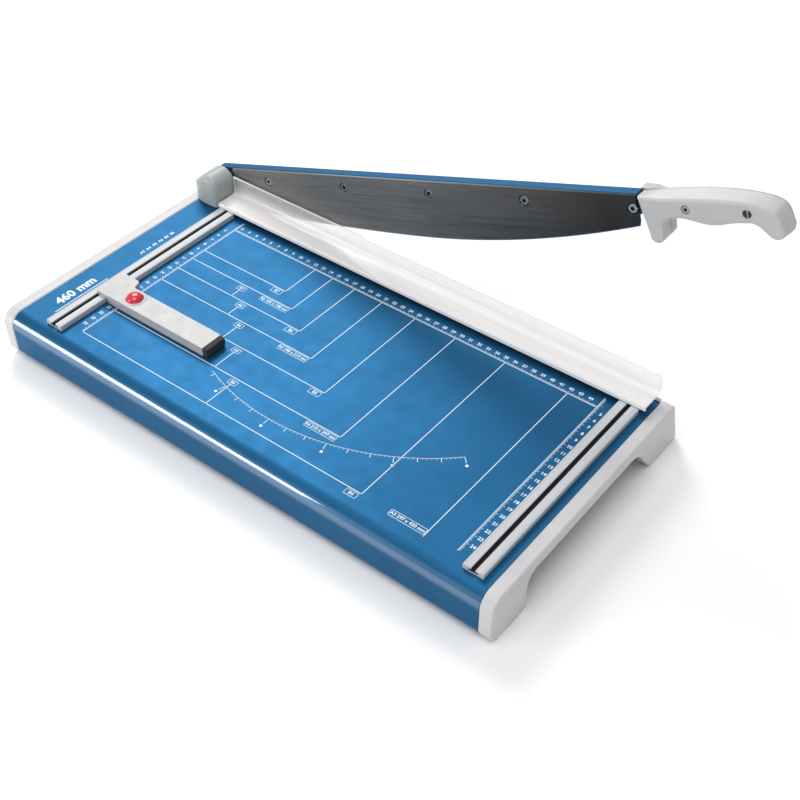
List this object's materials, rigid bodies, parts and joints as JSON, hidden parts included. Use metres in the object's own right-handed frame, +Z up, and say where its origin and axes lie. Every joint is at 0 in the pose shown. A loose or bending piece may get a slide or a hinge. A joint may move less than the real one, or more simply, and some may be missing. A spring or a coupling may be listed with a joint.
{
  "type": "guillotine paper cutter",
  "caption": "Lever guillotine cutter: flat table with slotted rails and printed grid, raised curved blade with handle, clear guard over a clamp, sliding backstop with lock button.",
  "frame": {"origin": "under the middle of the whole object at rest (blade raised), on the surface that it stands on", "axes": "+X along the cut from the pivot to the handle, +Y from the operator's side to the cut, +Z up"},
  "size_m": [0.6312, 0.3054, 0.2773],
  "materials": {
    "blue_paint": "satin powder coat",
    "light_plastic": "fine moulded grain",
    "grey_plastic": "smooth satin",
    "off_white_plastic": "smooth satin",
    "red_plastic": "gloss",
    "clear_plastic": "clear, slightly frosted",
    "rubber": "matt",
    "aluminium": "extruded, satin anodised",
    "blade_steel": "ground along its length, dark",
    "bright_steel": "zinc plated",
    "brass": "turned"
  },
  "bodies": {
    "base": {"table_panel": "blue_paint", "cap_left": "light_plastic", "cap_right": "light_plastic", "pivot_bracket": "grey_plastic", "foot_pad_left_front": "rubber", "foot_pad_left_rear": "rubber", "foot_pad_right_front": "rubber", "foot_pad_right_rear": "rubber", "rail_left": "aluminium", "rail_right": "aluminium", "cross_rail_front": "bright_steel", "cross_rail_rear": "bright_steel", "counter_blade": "bright_steel", "rear_beam": "bright_steel", "counter_screw_1": "bright_steel", "counter_screw_2": "bright_steel", "counter_screw_3": "bright_steel", "counter_screw_4": "bright_steel", "rail_screw_1": "bright_steel", "rail_screw_2": "bright_steel", "rail_screw_3": "bright_steel", "rail_screw_4": "bright_steel", "bracket_screw_1": "bright_steel", "bracket_screw_2": "bright_steel", "pivot_bolt": "bright_steel", "bolt_washer": "bright_steel", "spring_washer": "bright_steel", "clamp_spring_left": "bright_steel", "clamp_spring_right": "bright_steel", "thrust_washer": "brass", "guide_bushing_left": "brass", "guide_bushing_right": "brass"},
    "blade_arm": {"arm": "blue_paint", "blade": "blade_steel", "blade_screw_1": "bright_steel", "blade_screw_2": "bright_steel", "blade_screw_3": "bright_steel", "blade_screw_4": "bright_steel", "blade_screw_5": "bright_steel", "handle_front": "light_plastic", "handle_rear": "light_plastic", "handle_screw_1": "bright_steel", "handle_screw_2": "bright_steel"},
    "clamp": {"guard": "clear_plastic", "clamp_bar": "aluminium", "clamp_pad": "rubber", "lift_bar": "bright_steel", "guide_post_left": "bright_steel", "guide_post_right": "bright_steel", "post_nut_left": "bright_steel", "post_nut_right": "bright_steel"},
    "backstop": {"backstop_arm": "off_white_plastic", "backstop_tip": "rubber", "backstop_slider": "bright_steel", "button_spring": "bright_steel"},
    "button": {"lock_button": "red_plastic"}
  },
  "joints": [
    {"name": "arm_hinge", "type": "hinge", "parent": "base", "child": "blade_arm", "pos_m": [-0.28964, 0.1259, 0.064], "axis": [0, -1, 0], "range_deg": [-19.5, 16.5]},
    {"name": "clamp_slide", "type": "slide", "parent": "base", "child": "clamp", "axis": [0, 0, 1], "range_m": [-0.0043, 0.0036], "deforming": ["clamp_spring_left", "clamp_spring_right"]},
    {"name": "backstop_slide", "type": "slide", "parent": "base", "child": "backstop", "axis": [0, 1, 0], "range_m": [-0.053, 0.139]},
    {"name": "button_press", "type": "slide", "parent": "backstop", "child": "button", "axis": [0, 0, -1], "range_m": [0, 0.0023], "stiffness_N_per_m": 600, "springref_m": -0.0008, "deforming": ["button_spring"]}
  ],
  "couplings": [
    {"joint": "clamp_slide", "follows": "arm_hinge", "m_per_rad": 0.01234}
  ]
}
